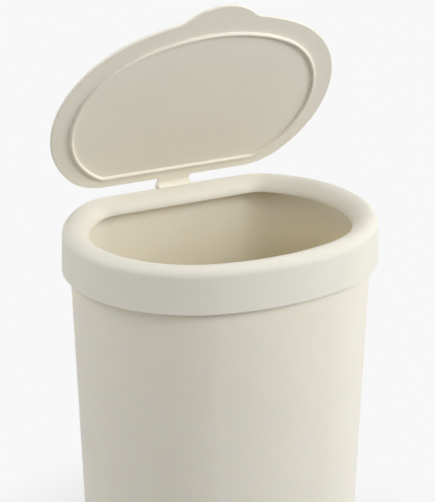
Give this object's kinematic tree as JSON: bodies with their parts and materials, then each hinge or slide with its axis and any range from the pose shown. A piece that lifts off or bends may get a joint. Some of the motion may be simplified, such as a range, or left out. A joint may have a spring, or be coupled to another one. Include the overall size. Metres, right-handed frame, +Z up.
{
  "type": "trash can",
  "caption": "D-shaped plastic trash can: tapered bin, lift-off collar with a rolled rim, and a rear-hinged flip lid with a front thumb tab.",
  "frame": {"origin": "on the floor, under the middle of the whole object's box", "axes": "+Z up, +Y towards the straight back with the hinge, +X to the right of someone who faces the curved front"},
  "size_m": [0.2726, 0.212, 0.5113],
  "materials": {
    "bin_plastic": "warm cream moulded polypropylene, fine satin grain",
    "collar_plastic": "warm cream moulded polypropylene, satin",
    "lid_plastic": "warm cream moulded polypropylene, satin",
    "pin_steel": "plain steel rod"
  },
  "bodies": {
    "bin": {"bin_body": "bin_plastic"},
    "ring": {"collar": "collar_plastic", "hinge_pin": "pin_steel"},
    "lid": {"lid": "lid_plastic"}
  },
  "joints": [
    {"name": "collar_lift", "type": "slide", "parent": "bin", "child": "ring", "axis": [0, 0, 1], "range_m": [0, 0.06]},
    {"name": "lid_hinge", "type": "hinge", "parent": "ring", "child": "lid", "pos_m": [0, 0.10095, 0.3284], "axis": [-1, 0, 0], "range_deg": [-60, 40]}
  ]
}
